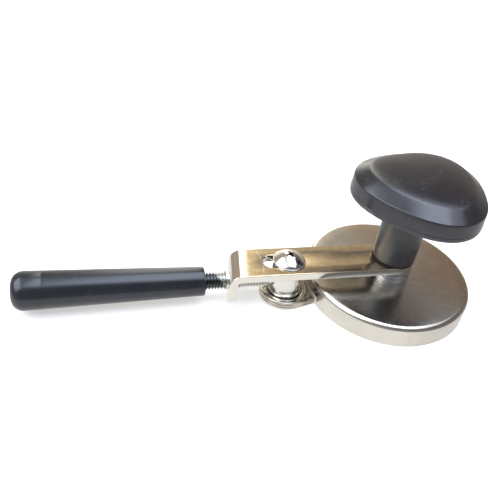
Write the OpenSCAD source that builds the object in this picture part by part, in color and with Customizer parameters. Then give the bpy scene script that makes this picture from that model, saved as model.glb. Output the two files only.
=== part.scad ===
// Hand-held rim cutter for round cans: locating cup, flat arm with a feed screw
// and side grip, blade carriage in a slot, and a free-turning palm knob.
// Axis of the cup is Z, the cup's rim lies in the plane Z = 0, the arm runs along -X.

/* [Cup] */
// outer radius of the locating cup
cup_r = 40; // [38:0.5:44]
// height of the cup over its rim plane
cup_h = 11.2; // [9:0.05:12.4]
// sheet thickness of the cup
cup_t = 1.2; // [0.8:0.1:2]
// outer radius of the cup's top edge
cup_edge = 2.4; // [1.6:0.1:5]
// half width of the notch in the skirt that lets the cutter tongue in
notch_w = 9.3; // [8.9:0.1:12]
// height of the notch over the rim plane
notch_h = 4.6; // [3.8:0.1:6]

/* [Arm] */
// underside of the arm over the rim plane
arm_z = 16.62; // [15.6:0.02:17]
// thickness of the arm
arm_t = 3.9; // [3:0.02:4.2]
// half width of the arm
arm_w = 9.66; // [8:0.02:12]
// outer face of the bent leg along X, measured from the cup's axis
leg_x = 80.4; // [78:0.02:86]
// outer radius of the bend
bend_r = 5.2; // [4.6:0.1:9]
// lower end of the leg over the rim plane
leg_z = 5.7; // [4:0.1:5.8]
// half width of the slot in the arm
slot_w = 4.5; // [4:0.05:5.5]
// outer end of the slot, measured from the cup's axis
slot_out = 65.2; // [60:0.1:70]
// inner end of the slot, measured from the cup's axis
slot_in = 45.6; // [40:0.1:48]

/* [Carriage] */
// distance of the post from the cup's axis
post_x = 52.6; // [51:0.1:58]
// radius of the post
post_r = 7.28; // [7.1:0.02:7.6]
// outer radius of the cutter ring
ring_r = 11.6; // [10.8:0.1:14]
// top of the cutter ring
ring_top = 4.2; // [4:0.1:5]
// lower face of the cutter ring over the rim plane
ring_bot = 0.25; // [0.1:0.05:0.25]
// radius of the domed screw head
head_r = 7.4; // [6:0.1:9]
// height of the domed screw head
head_h = 3.5; // [2.5:0.1:5]

/* [Feed screw and grip] */
// height of the feed screw's axis over the rim plane
rod_z = 10.7; // [10.2:0.1:10.9]
// outer radius of the feed screw's thread
rod_r = 3.97; // [3.5:0.01:4.2]
// pitch of the feed screw's thread
rod_pitch = 1.411; // [0.8:0.001:1.5]
// front end of the grip, measured from the cup's axis
grip_x0 = 91.8; // [88:0.1:100]
// free end of the grip, measured from the cup's axis
grip_x1 = 174.05; // [150:0.05:190]
// radius of the grip at its front end
grip_r0 = 6.66; // [6:0.02:9]
// radius of the grip where the round end starts
grip_r1 = 8.58; // [7:0.02:11]
// length of the grip's round end cap
grip_cap = 12.8; // [8:0.1:16]

/* [Palm knob] */
// radius of the stem
stem_r = 10.14; // [9:0.02:12]
// lower end of the stem over the rim plane
stem_z = 21.45; // [21.4:0.05:24]
// mean radius of the knob
knob_r = 29.0; // [24:0.1:36]
// how far the knob's three soft lobes stand out from the mean radius
knob_lobe = 1.86; // [0:0.02:3]
// lower face of the knob over the rim plane
knob_z0 = 53.3; // [51:0.1:56]
// height of the knob's sharp ridge over the rim plane
knob_z1 = 61.9; // [59:0.1:63.8]
// height of the knob's inner soft ridge over the rim plane
knob_z2 = 65.8; // [64:0.1:66.4]
// top of the knob's dome over the rim plane
knob_z3 = 67.6; // [67:0.1:72]
// offset of the knob's outline from the stem, along X
knob_ox = 2.1; // [-3:0.1:3]
// offset of the knob's outline from the stem, along Y
knob_oy = -1.66; // [-3:0.02:3]

/* [Hidden] */
$fn = 56;
arm_top = arm_z + arm_t;
steel = [0.74, 0.73, 0.71];
nickel = [0.80, 0.77, 0.70];
zinc = [0.80, 0.80, 0.80];
black = [0.07, 0.07, 0.08];
grey = [0.22, 0.22, 0.24];
brass = [0.78, 0.62, 0.30];
hex_k = 1 / cos(30);

// points of an arc about (cx, cy), from angle a0 to a1
function arc(cx, cy, r, a0, a1, n) =
  [for (i = [0:n]) let (a = a0 + (a1 - a0) * i / n) [cx + r * cos(a), cy + r * sin(a)]];

// outline of the knob: a circle with three soft lobes
function lobes(r, k) =
  [for (i = [0:71]) let (a = i * 5, q = r + k * cos(3 * (a - 40.6)))
    [knob_ox + q * cos(a), knob_oy + q * sin(a)]];

module hexagon(af, h) { cylinder(r = af / 2 * hex_k, h = h, $fn = 6); }

module slice(r, k, z) { translate([0, 0, z]) linear_extrude(height = 0.02) polygon(lobes(r, k)); }

// ---------------------------------------------------------------- frame

module cup() {
  color(nickel) difference() {
    rotate_extrude($fn = 96) polygon(concat(
      [[5.05, cup_h - cup_t], [5.05, cup_h]],
      arc(cup_r - cup_edge, cup_h - cup_edge, cup_edge, 90, 0, 9),
      [[cup_r, 0.35], [cup_r - 0.35, 0], [cup_r - cup_t + 0.3, 0], [cup_r - cup_t, 0.3]],
      arc(cup_r - cup_edge, cup_h - cup_edge, cup_edge - cup_t, 0, 90, 7)));
    translate([-cup_r - 1, -notch_w, -1]) cube([4.4, 2 * notch_w, notch_h + 1]);
  }
}

module cup_washer() {
  color(steel) translate([0, 0, cup_h - cup_t - 1.2])
    difference() { cylinder(r = 11, h = 1.2); translate([0, 0, -1]) cylinder(r = 4.05, h = 4); }
}

module spindle() {
  z1 = cup_h - cup_t - 1.2;
  color(steel) difference() {
    union() {
      translate([0, 0, z1 - 3]) intersection() {
        hexagon(13, 3);
        cylinder(r1 = 6.6, r2 = 9.6, h = 3);
      }
      translate([0, 0, z1]) cylinder(r = 4, h = 28.4 - z1);
      translate([0, 0, 28.4]) cylinder(r = 3.2, h = 50 - 28.4);
    }
    translate([0, 0, 40]) cylinder(r = 2, h = 12);
  }
}

module boss_bush() {
  z0 = cup_h;
  color(steel) rotate_extrude() polygon([
    [4.05, z0], [9.9, z0], [10.2, z0 + 0.3], [10.2, z0 + 1.1], [9.95, z0 + 1.3], [9.95, z0 + 1.6],
    [10.2, z0 + 1.8], [10.2, z0 + 3.0], [9.95, z0 + 3.2], [9.95, z0 + 3.5], [10.2, z0 + 3.7],
    [10.2, arm_z - 0.3], [9.9, arm_z], [4.05, arm_z]]);
}

module arm() {
  fx = leg_x - bend_r;
  color(nickel) difference() {
    union() {
      translate([0, 0, arm_z]) cylinder(r = arm_w, h = arm_t);
      translate([-fx, -arm_w, arm_z]) cube([fx, 2 * arm_w, arm_t]);
      translate([-fx, arm_w, arm_top - bend_r]) rotate([90, 0, 0])
        difference() {
          cylinder(r = bend_r, h = 2 * arm_w);
          translate([0, 0, -1]) cylinder(r = bend_r - arm_t, h = 2 * arm_w + 2);
          translate([0, -20, -1]) cube([20, 40, 2 * arm_w + 2]);
          translate([-20, -20, -1]) cube([40, 20, 2 * arm_w + 2]);
        }
      translate([-leg_x, -arm_w, leg_z]) cube([arm_t, 2 * arm_w, arm_top - bend_r - leg_z]);
    }
    translate([0, 0, arm_z - 1]) cylinder(r = 4.05, h = arm_t + 2);
    translate([-slot_out + slot_w, 0, arm_z - 1]) cylinder(r = slot_w, h = arm_t + 2);
    translate([-slot_in - slot_w, 0, arm_z - 1]) cylinder(r = slot_w, h = arm_t + 2);
    translate([-slot_out + slot_w, -slot_w, arm_z - 1])
      cube([slot_out - slot_in - 2 * slot_w, 2 * slot_w, arm_t + 2]);
    translate([-leg_x - 1, 0, rod_z]) rotate([0, 90, 0]) cylinder(r = 4.5, h = arm_t + 2);
  }
}

module leg_nut() {
  color(zinc) translate([-leg_x - 1.5, 0, rod_z]) rotate([0, 90, 0]) difference() {
    cylinder(r = 4.5, h = 1.5 + arm_t);
    translate([0, 0, -1]) cylinder(r = rod_r + 0.06, h = 10);
  }
}

module clamp_washer() {
  color(zinc) translate([0, 0, arm_top])
    difference() { cylinder(r = 7.6, h = 0.9); translate([0, 0, -1]) cylinder(r = 4.05, h = 4); }
}

module clamp_nut() {
  color(zinc) translate([0, 0, arm_top + 0.9]) difference() {
    intersection() { hexagon(13, 5.6); cylinder(r1 = 6.9, r2 = 12, h = 5.6); cylinder(r1 = 12, r2 = 6.9, h = 5.6); }
    translate([0, 0, -1]) cylinder(r = 4.02, h = 9);
  }
}

module thrust_washer() {
  color([0.05, 0.05, 0.05]) translate([0, 0, arm_top])
    difference() { cylinder(r = 9.9, h = 0.85); translate([0, 0, -1]) cylinder(r = 8.2, h = 4); }
}

module retaining_washer() {
  color(zinc) translate([0, 0, 50])
    difference() { cylinder(r = 5.2, h = 0.8); translate([0, 0, -1]) cylinder(r = 2.05, h = 4); }
}

module retaining_screw() {
  color(steel) difference() {
    union() {
      translate([0, 0, 50.8]) cylinder(r = 3.5, h = 2.4);
      translate([0, 0, 41.5]) cylinder(r = 1.98, h = 9.4);
    }
    translate([0, 0, 51.8]) hexagon(3, 4);
  }
}

// ---------------------------------------------------------------- carriage

module post() {
  z1 = arm_z - 0.1;
  color(zinc) translate([-post_x, 0, 0]) difference() {
    rotate_extrude() polygon([
      [0, 1.7], [4.98, 1.7], [4.98, 3.0], [7.75, 3.0], [8.0, 3.3], [8.0, 4.5], [7.7, 4.9],
      [post_r, 5.1], [post_r, z1 - 0.4], [post_r - 0.4, z1], [0, z1]]);
    translate([0, 0, 14.3]) cylinder(r = 3.02, h = arm_z - 12.8);
    translate([0, 0, 10]) cylinder(r = 1.8, h = 5);
    translate([-post_r - 2, 0, rod_z]) rotate([0, 90, 0]) cylinder(r = 3.36, h = 2 * post_r + 0.8);
    translate([0, 0, 0]) cylinder(r = 2.02, h = 6.6);
  }
}

module post_screw() {
  zb = arm_top + 0.65;
  rr = (head_r * head_r + head_h * head_h) / (2 * head_h);
  a0 = asin((rr - head_h) / rr);
  color(steel) translate([-post_x, 0, 0]) difference() {
    rotate_extrude() polygon(concat(
      [[0, 13.1], [1.5, 13.1], [1.5, 14.5], [3.0, 14.5], [3.0, arm_z - 0.1], [3.9, arm_z - 0.1], [3.9, zb],
       [head_r - 0.25, zb]],
      [for (i = [0:14]) let (a = a0 + 2 + (88 - a0) * i / 14)
        [rr * cos(a), zb + head_h - rr + rr * sin(a)]]));
    for (q = [0, 90]) rotate([0, 0, q + 20]) translate([-2.4, -0.5, zb + head_h - 1.7]) cube([4.8, 1.0, 3]);
  }
}

module screw_washer() {
  color(zinc) translate([-post_x, 0, arm_top + 0.05])
    difference() { cylinder(r = 7.7, h = 0.6); translate([0, 0, -1]) cylinder(r = 3.95, h = 3); }
}

module cutter_ring() {
  zt = ring_top; zb = ring_bot; tz = 3.5;
  color(nickel) difference() {
    union() {
      translate([-post_x, 0, 0]) rotate_extrude($fn = 72) polygon([
        [5.02, zb], [ring_r - 0.4, zb], [ring_r, zb + 0.4], [ring_r, 1.35], [ring_r - 0.4, 1.5], [ring_r - 0.4, 1.8],
        [ring_r, 1.95], [ring_r, 2.6], [ring_r - 0.4, 2.75], [ring_r - 0.4, 3.05], [ring_r, 3.2],
        [ring_r, zt - 0.45], [ring_r - 0.45, zt], [10.1, zt], [9.85, zt - 0.3], [9.55, zt - 0.3], [9.3, zt - 0.05],
        [8.75, zt - 0.25], [8.3, zt - 0.8], [8.3, 3.0], [5.02, 3.0]]);
      translate([0, 0, zb]) linear_extrude(height = tz - zb) polygon([
        [-post_x + 1.5, -11.3], [-post_x + 3.6, -11.05], [-40.6, -8.7], [-39.4, -8.3], [-38.9, -7.6],
        [-38.9, 7.6], [-39.4, 8.3], [-40.6, 8.7], [-post_x + 3.6, 11.05], [-post_x + 1.5, 11.3]]);
    }
    translate([-post_x, 0, -1]) cylinder(r = 5.02, h = 6);
    translate([-post_x, 0, 3.0]) cylinder(r = 8.3, h = 3);
    translate([-post_x, 0, -1]) cylinder(r = 6.6, h = 2.7);
    translate([-46.2, -4.1, -1]) cube([10, 8.2, 2.5]);
    for (y = [-2.2, 2.2]) translate([-43.4, y, 0]) cylinder(r = 1.0, h = 2.9, $fn = 24);
  }
}

module cutter_blade() {
  color([0.62, 0.63, 0.65]) difference() {
    translate([0, 0, ring_bot + 0.05]) linear_extrude(height = 1.2) polygon([
      [-46.1, -4.0], [-41.2, -4.0], [-38.95, -0.25], [-38.95, 0.25], [-41.2, 4.0], [-46.1, 4.0]]);
    for (y = [-2.2, 2.2]) translate([-43.4, y, 0]) {
      cylinder(r = 1.05, h = 3, $fn = 24);
      translate([0, 0, ring_bot - 0.1]) cylinder(r1 = 1.95, r2 = 1.05, h = 0.95, $fn = 24);
    }
  }
}

module blade_screws() {
  color(steel) for (y = [-2.2, 2.2]) translate([-43.4, y, 0]) difference() {
    union() {
      translate([0, 0, ring_bot + 0.08]) cylinder(r1 = 1.75, r2 = 0.98, h = 0.75, $fn = 24);
      translate([0, 0, ring_bot + 0.6]) cylinder(r = 0.98, h = 2.0, $fn = 24);
    }
    translate([0, 0, ring_bot - 0.5]) cylinder(r = 0.62, h = 1.1, $fn = 6);
  }
}

module ring_screw() {
  color(steel) translate([-post_x, 0, 0]) difference() {
    union() {
      translate([0, 0, 0.45]) cylinder(r1 = 5.9, r2 = 6.4, h = 1.25);
      translate([0, 0, 1.6]) cylinder(r = 2.0, h = 4.8);
    }
    translate([0, 0, -0.2]) hexagon(3, 1.6);
  }
}

// ---------------------------------------------------------------- feed screw and grip

module feed_rod() {
  x = post_x;
  color(zinc) translate([0, 0, rod_z]) rotate([0, -90, 0]) rotate_extrude() polygon([
    [0, x - 5.8], [2.7, x - 5.8], [3.3, x - 5.2], [3.3, x - 2.1], [2.0, x - 1.9], [2.0, x + 1.9], [3.3, x + 2.1],
    [3.3, x + 7.8], [rod_r, x + 8.5], [rod_r, 110 - rod_pitch / 2], [rod_r - rod_pitch / 2, 110], [0, 110]]);
}

module grip() {
  xe = grip_x1 - grip_cap;
  re = grip_r0 + (grip_r1 - grip_r0) * (xe - grip_x0) / (grip_x1 - 6 - grip_x0);
  color(black) translate([0, 0, rod_z]) rotate([0, -90, 0]) rotate_extrude($fn = 64) polygon(concat(
    [[rod_r, grip_x0]], arc(grip_r0 - 0.6, grip_x0 + 0.6, 0.6, 270, 360, 4),
    [[re, xe - 0.25], [re - 0.2, xe - 0.05], [4.4, xe - 0.05], [4.4, xe + 3], [0, xe + 3], [0, 113],
     [5.2, 113], [5.2, grip_x0 + 3], [rod_r, grip_x0 + 3]]));
}

module grip_insert() {
  color(brass) translate([0, 0, rod_z]) rotate([0, -90, 0]) rotate_extrude() polygon([
    [rod_r, grip_x0 + 3], [4.9, grip_x0 + 3], [5.2, grip_x0 + 3.4], [5.2, 99], [4.8, 99.4], [4.8, 101.4],
    [5.2, 101.8], [5.2, 112.6], [4.9, 113], [rod_r, 113]]);
}

module grip_end_cap() {
  xe = grip_x1 - grip_cap;
  re = grip_r0 + (grip_r1 - grip_r0) * (xe - grip_x0) / (grip_x1 - 6 - grip_x0);
  rc = 5.2;
  color(black) translate([0, 0, rod_z]) rotate([0, -90, 0]) rotate_extrude($fn = 64) polygon(concat(
    [[4.4, xe + 0.05], [re - 0.2, xe + 0.05], [re, xe + 0.25]],
    arc(grip_r1 - rc, grip_x1 - rc, rc, 0, 90, 12),
    [[0, grip_x1], [0, xe + 3], [4.4, xe + 3]]));
}

// ---------------------------------------------------------------- palm knob

module knob_stem() {
  color(grey) rotate_extrude($fn = 64) polygon([
    [8.2, stem_z], [stem_r - 0.35, stem_z], [stem_r, stem_z + 0.35], [stem_r, knob_z0 + 2.4],
    [13.0, knob_z0 + 2.4], [13.0, knob_z0 + 4.4], [6.0, knob_z0 + 4.4], [6.0, 29.6], [8.2, 28.8]]);
}

module stem_bush() {
  color(brass) rotate_extrude() polygon([
    [3.26, 29.7], [5.7, 29.7], [6.0, 30.0], [6.0, 49.75], [3.26, 49.75]]);
}

module palm_base() {
  z = knob_z0;
  color(black) difference() {
    hull() {
      slice(knob_r - 0.9, knob_lobe, z);
      slice(knob_r + 0.15, knob_lobe, z + 0.5);
      slice(knob_r + 0.45, knob_lobe, z + 1.2);
      slice(knob_r + 0.45, knob_lobe, z + 2.28);
    }
    translate([0, 0, z - 1]) cylinder(r = stem_r, h = 5);
    for (a = [40.6, 160.6, 280.6]) translate([19 * cos(a), 19 * sin(a), z - 1]) {
      cylinder(r = 1.6, h = 5, $fn = 24);
      cylinder(r = 3.2, h = 2, $fn = 24);
    }
  }
}

module palm_cap() {
  z = knob_z0 + 2.4;
  color(black) difference() {
    hull() {
      slice(knob_r + 0.45, knob_lobe, z);
      slice(knob_r + 0.1, knob_lobe, knob_z1 - 1.0);
      slice(knob_r - 0.15, knob_lobe, knob_z1 - 0.25);
      slice(knob_r - 0.75, knob_lobe, knob_z1 + 0.35);
      slice(knob_r - 4.0, knob_lobe * 0.95, knob_z2 - 1.55);
      slice(knob_r - 6.3, knob_lobe * 0.9, knob_z2);
      slice(knob_r - 9.0, knob_lobe * 0.8, knob_z2 + 0.7);
      slice(13.5, knob_lobe * 0.45, knob_z3 - 0.35);
      slice(6.5, 0.2, knob_z3 - 0.02);
    }
    hull() {
      slice(knob_r - 2.4, knob_lobe, z - 0.1);
      slice(knob_r - 3.0, knob_lobe, knob_z1 - 1.6);
      slice(knob_r - 8.5, knob_lobe * 0.8, knob_z2 - 2.6);
    }
  }
  color(black) for (a = [40.6, 160.6, 280.6]) translate([19 * cos(a), 19 * sin(a), z]) difference() {
    cylinder(r = 3.4, h = knob_z2 - 2.0 - z);
    translate([0, 0, -1]) cylinder(r = 1.35, h = 7.5, $fn = 24);
  }
}

module shell_screws() {
  z = knob_z0;
  color(zinc) for (a = [40.6, 160.6, 280.6]) translate([19 * cos(a), 19 * sin(a), z]) difference() {
    union() {
      translate([0, 0, 0.1]) cylinder(r = 2.8, h = 0.9, $fn = 32);
      cylinder(r = 1.33, h = 8.2, $fn = 24);
    }
    for (q = [0, 90]) rotate([0, 0, q]) translate([-1.5, -0.3, -0.5]) cube([3, 0.6, 1.1]);
  }
}

cup();
cup_washer();
spindle();
boss_bush();
arm();
leg_nut();
clamp_washer();
clamp_nut();
thrust_washer();
retaining_washer();
retaining_screw();
post();
post_screw();
screw_washer();
cutter_ring();
cutter_blade();
blade_screws();
ring_screw();
feed_rod();
grip();
grip_insert();
grip_end_cap();
knob_stem();
stem_bush();
palm_base();
palm_cap();
shell_screws();
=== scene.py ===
import math

import bmesh
import bpy
import numpy as np
from mathutils import Matrix, Vector
from mathutils.geometry import tessellate_polygon


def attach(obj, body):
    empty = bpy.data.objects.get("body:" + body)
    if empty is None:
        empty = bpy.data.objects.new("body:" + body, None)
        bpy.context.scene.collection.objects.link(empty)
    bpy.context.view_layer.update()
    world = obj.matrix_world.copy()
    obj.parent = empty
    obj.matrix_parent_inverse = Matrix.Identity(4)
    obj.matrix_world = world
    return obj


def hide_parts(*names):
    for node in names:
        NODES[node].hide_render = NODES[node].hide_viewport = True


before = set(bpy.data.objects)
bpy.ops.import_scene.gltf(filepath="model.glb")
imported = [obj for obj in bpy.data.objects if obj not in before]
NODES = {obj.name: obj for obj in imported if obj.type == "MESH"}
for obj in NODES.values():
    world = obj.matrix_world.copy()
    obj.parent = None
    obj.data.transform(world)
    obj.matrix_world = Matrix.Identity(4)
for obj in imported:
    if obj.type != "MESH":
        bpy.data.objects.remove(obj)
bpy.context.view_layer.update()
scene = bpy.context.scene
MM = 0.001
pi = math.pi

# ------------------------------------------------------------------ sizes, in mm, as in the CAD
CUP_R, CUP_H, CUP_T, CUP_EDGE = 40.0, 11.2, 1.2, 2.4
NOTCH_W, NOTCH_H = 9.3, 4.6
ARM_Z, ARM_T, ARM_W = 16.62, 3.9, 9.66
ARM_TOP = ARM_Z + ARM_T
LEG_X, BEND_R, LEG_Z = 80.4, 5.2, 5.7
SLOT_W, SLOT_OUT, SLOT_IN = 4.5, 65.2, 45.6
POST_X, POST_R = 52.6, 7.28
RING_R, RING_TOP, RING_BOT = 11.6, 4.2, 0.25
HEAD_R, HEAD_H = 7.4, 3.5
ROD_Z, ROD_R, PITCH = 10.7, 3.97, 1.411
GRIP0, GRIP1, GR0, GR1, GCAP = 91.8, 174.05, 6.66, 8.58, 12.8
STEM_R, STEM_Z = 10.14, 21.45
KNOB_R, LOBE, KZ0, KZ1, KZ2, KZ3 = 29.0, 1.86, 53.3, 61.9, 65.8, 67.6
KOX, KOY, KPH = 2.1, -1.66, math.radians(40.6)


# ------------------------------------------------------------------ node helpers
class Mat:
    def __init__(self, name):
        self.m = bpy.data.materials.new(name)
        self.m.use_nodes = True
        self.nt = self.m.node_tree
        self.nt.nodes.clear()
        self.out = self.nt.nodes.new("ShaderNodeOutputMaterial")
        self.bsdf = self.nt.nodes.new("ShaderNodeBsdfPrincipled")
        self.nt.links.new(self.bsdf.outputs[0], self.out.inputs[0])
        self.co = self.nt.nodes.new("ShaderNodeTexCoord")

    def new(self, kind, **kw):
        n = self.nt.nodes.new(kind)
        for k, v in kw.items():
            setattr(n, k, v)
        return n

    def link(self, a, b):
        self.nt.links.new(a, b)

    def val(self, sock, v):
        if hasattr(v, "is_output"):
            self.link(v, sock)
        else:
            sock.default_value = v

    def math(self, op, a, b=0.0, c=0.0, clamp=False):
        n = self.new("ShaderNodeMath", operation=op, use_clamp=clamp)
        self.val(n.inputs[0], a)
        self.val(n.inputs[1], b)
        if op in ("MULTIPLY_ADD", "SMOOTH_MIN", "SMOOTH_MAX", "WRAP", "COMPARE"):
            self.val(n.inputs[2], c)
        return n.outputs[0]

    def obj(self, scale=(1, 1, 1), rot=(0, 0, 0), loc=(0, 0, 0)):
        n = self.new("ShaderNodeMapping")
        self.link(self.co.outputs["Object"], n.inputs["Vector"])
        n.inputs["Scale"].default_value = scale
        n.inputs["Rotation"].default_value = rot
        n.inputs["Location"].default_value = loc
        return n.outputs[0]

    def xyz(self):
        n = self.new("ShaderNodeSeparateXYZ")
        self.link(self.co.outputs["Object"], n.inputs[0])
        return n.outputs

    def noise(self, vec, scale=100.0, detail=3.0, rough=0.5, dist=0.0):
        n = self.new("ShaderNodeTexNoise")
        self.link(vec, n.inputs["Vector"])
        n.inputs["Scale"].default_value = scale
        n.inputs["Detail"].default_value = detail
        n.inputs["Roughness"].default_value = rough
        n.inputs["Distortion"].default_value = dist
        return n.outputs["Fac"]

    def rng(self, v, a, b, c=0.0, d=1.0, smooth=False):
        n = self.new("ShaderNodeMapRange")
        if smooth:
            n.interpolation_type = "SMOOTHSTEP"
        self.val(n.inputs["Value"], v)
        n.inputs["From Min"].default_value = a
        n.inputs["From Max"].default_value = b
        n.inputs["To Min"].default_value = c
        n.inputs["To Max"].default_value = d
        return n.outputs["Result"]

    def mixc(self, f, a, b):
        n = self.new("ShaderNodeMix", data_type="RGBA")
        self.val(n.inputs[0], f)
        for s, v in ((n.inputs[6], a), (n.inputs[7], b)):
            if hasattr(v, "is_output"):
                self.link(v, s)
            else:
                s.default_value = (*v, 1.0)
        return n.outputs[2]

    def bump(self, h, strength=0.2, dist=0.0001, normal=None):
        n = self.new("ShaderNodeBump")
        n.inputs["Strength"].default_value = strength
        n.inputs["Distance"].default_value = dist
        self.link(h, n.inputs["Height"])
        if normal is not None:
            self.link(normal, n.inputs["Normal"])
        return n.outputs[0]

    def scratches(self, seed=0.0, ang=0.0, density=60.0, thin=0.012, stretch=18.0):
        """Thin hair lines along one direction: 1 on a line, 0 off it."""
        v = self.obj(scale=(density / stretch, density, density * 0.6), rot=(0, 0, ang), loc=(seed, seed * 1.7, 0))
        nz = self.noise(v, 1.0 * 10, 1.0, 0.4, 0.3)
        a = self.math("ABSOLUTE", self.math("SUBTRACT", nz, 0.5))
        return self.rng(a, thin, 0.0, 0.0, 1.0)


def metal(name, col, col2, rough, grain=(1, 1, 1), grain_scale=700.0, spread=0.06, blotch=0.35,
          scratch=0.25, bump=0.10, extra=None, specks=0.0):
    m = Mat(name)
    m.bsdf.inputs["Metallic"].default_value = 1.0
    big = m.noise(m.obj(), 55.0, 4.0, 0.6, 0.6)
    mid = m.noise(m.obj(), 260.0, 3.0, 0.55)
    gr = m.noise(m.obj(scale=grain), grain_scale, 4.0, 0.65)
    fine = m.noise(m.obj(), 5200.0, 2.0, 0.5)
    s1 = m.scratches(3.1, 0.5, 110.0, 0.010)
    s2 = m.scratches(7.7, -0.9, 80.0, 0.008)
    ss = m.math("MAXIMUM", s1, s2)
    patch = m.rng(m.noise(m.obj(), 90.0, 2.0, 0.5), 0.5, 0.62, 0.0, 1.0)
    ss = m.math("MULTIPLY", ss, patch)
    f = m.math("MULTIPLY", m.rng(big, 0.35, 0.68, 0.0, 1.0, True), blotch)
    f = m.math("ADD", f, m.math("MULTIPLY", m.rng(gr, 0.3, 0.7), 0.22), clamp=True)
    colour = m.mixc(f, col, col2)
    if extra is not None:
        colour, ss = extra(m, colour, ss)
    m.link(colour, m.bsdf.inputs["Base Color"])
    r = m.math("ADD", rough, m.math("MULTIPLY", m.math("SUBTRACT", gr, 0.5), spread * 2))
    r = m.math("ADD", r, m.math("MULTIPLY", m.math("SUBTRACT", mid, 0.5), spread))
    r = m.math("ADD", r, m.math("MULTIPLY", ss, 0.12 * scratch * 4), clamp=True)
    m.link(r, m.bsdf.inputs["Roughness"])
    h = m.math("ADD", m.math("MULTIPLY", gr, 0.8), m.math("MULTIPLY", fine, 0.5 + specks))
    h = m.math("SUBTRACT", h, m.math("MULTIPLY", ss, scratch * 2.0))
    m.link(m.bump(h, bump, 0.00012), m.bsdf.inputs["Normal"])
    return m.m


def plastic(name, col, col2, rough, scratch=0.5, bump=0.06, seeds=(1.0, 5.0), spec=0.5, worn=(0.20, 0.20, 0.21), extra=None, tint=(1.0, 1.0, 1.0)):
    m = Mat(name)
    m.bsdf.inputs["Metallic"].default_value = 0.0
    m.bsdf.inputs["Specular Tint"].default_value = (tint[0], tint[1], tint[2], 1.0)
    m.bsdf.inputs["Specular IOR Level"].default_value = spec
    big = m.noise(m.obj(), 45.0, 3.0, 0.55, 0.4)
    mid = m.noise(m.obj(), 420.0, 3.0, 0.6)
    fine = m.noise(m.obj(), 3600.0, 2.0, 0.5)
    s1 = m.scratches(seeds[0], 0.7, 70.0, 0.006)
    s2 = m.scratches(seeds[1], -0.5, 95.0, 0.005)
    s3 = m.scratches(seeds[0] + 9.0, 2.0, 55.0, 0.004)
    ss = m.math("MAXIMUM", m.math("MAXIMUM", s1, s2), s3)
    patch = m.rng(m.noise(m.obj(loc=(seeds[1], 0, 0)), 75.0, 2.0, 0.5), 0.53, 0.66, 0.0, 1.0)
    ss = m.math("MULTIPLY", ss, patch)
    spk = m.rng(m.noise(m.obj(loc=(0.3, seeds[0], 0)), 900.0, 1.0, 0.4), 0.77, 0.80, 0.0, 1.0)
    colour = m.mixc(m.rng(big, 0.35, 0.7, 0.0, 1.0, True), col, col2)
    colour = m.mixc(m.math("MULTIPLY", m.math("MAXIMUM", ss, spk), scratch), colour, worn)
    if extra is not None:
        colour, ss = extra(m, colour, ss)
    m.link(colour, m.bsdf.inputs["Base Color"])
    r = m.math("ADD", rough, m.math("MULTIPLY", m.math("SUBTRACT", big, 0.5), 0.10))
    r = m.math("ADD", r, m.math("MULTIPLY", m.math("SUBTRACT", mid, 0.5), 0.06))
    r = m.math("ADD", r, m.math("MULTIPLY", ss, 0.15), clamp=True)
    m.link(r, m.bsdf.inputs["Roughness"])
    h = m.math("ADD", m.math("MULTIPLY", mid, 0.7), m.math("MULTIPLY", fine, 0.35))
    h = m.math("SUBTRACT", h, m.math("MULTIPLY", ss, 1.2))
    m.link(m.bump(h, bump, 0.0001), m.bsdf.inputs["Normal"])
    return m.m


def arm_rub_mark_and_painted_reflection(m, colour, ss):
    """Warm tan painted on the bar's top face only, in patches, as a painted reflection of the warm room; and the rub
    mark across it beyond the slot, which is wear.
    """
    x, y, z = m.xyz()
    yy = m.math("MULTIPLY", y, y)
    cx = m.math("ADD", -0.0655, m.math("MULTIPLY", yy, -22.0))
    wob = m.noise(m.obj(), 900.0, 2.0, 0.5)
    d = m.math("ABSOLUTE", m.math("SUBTRACT", x, m.math("ADD", cx, m.math("MULTIPLY", m.math("SUBTRACT", wob, 0.5), 0.0006))))
    line = m.rng(d, 0.00034, 0.00008, 0.0, 1.0)
    top = m.rng(z, 0.0202, 0.0205, 0.0, 1.0)
    inside = m.rng(m.math("ABSOLUTE", y), 0.0080, 0.0066, 0.0, 1.0)
    line = m.math("MULTIPLY", m.math("MULTIPLY", line, top), inside)
    line = m.math("MULTIPLY", line, m.rng(wob, 0.38, 0.5, 0.2, 1.0))
    patch = m.noise(m.obj(scale=(0.9, 1, 1)), 150.0, 4.0, 0.62, 0.8)
    streak = m.noise(m.obj(scale=(0.10, 1, 1)), 520.0, 4.0, 0.6)
    # painted reflection: tan with darker streaks, laid on the top face only
    tan = m.mixc(m.rng(patch, 0.36, 0.66, 0.0, 1.0, True), (0.79, 0.66, 0.46), (0.68, 0.54, 0.36))
    tan = m.mixc(m.rng(streak, 0.5, 0.8, 0.0, 0.16), tan, (0.52, 0.39, 0.25))
    before_bend = m.rng(m.math("ADD", x, m.math("MULTIPLY", y, -0.155)), -0.0738, -0.0722, 0.0, 1.0)
    # the painted reflection covers the top face up to the bend; the bend keeps the plain nickel
    colour = m.mixc(m.math("MULTIPLY", m.math("MULTIPLY", m.rng(z, 0.0200, 0.0204), before_bend), 0.94), colour, tan)
    colour = m.mixc(m.math("MULTIPLY", line, 0.8), colour, (0.95, 0.93, 0.86))
    return colour, m.math("MAXIMUM", ss, line)


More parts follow.
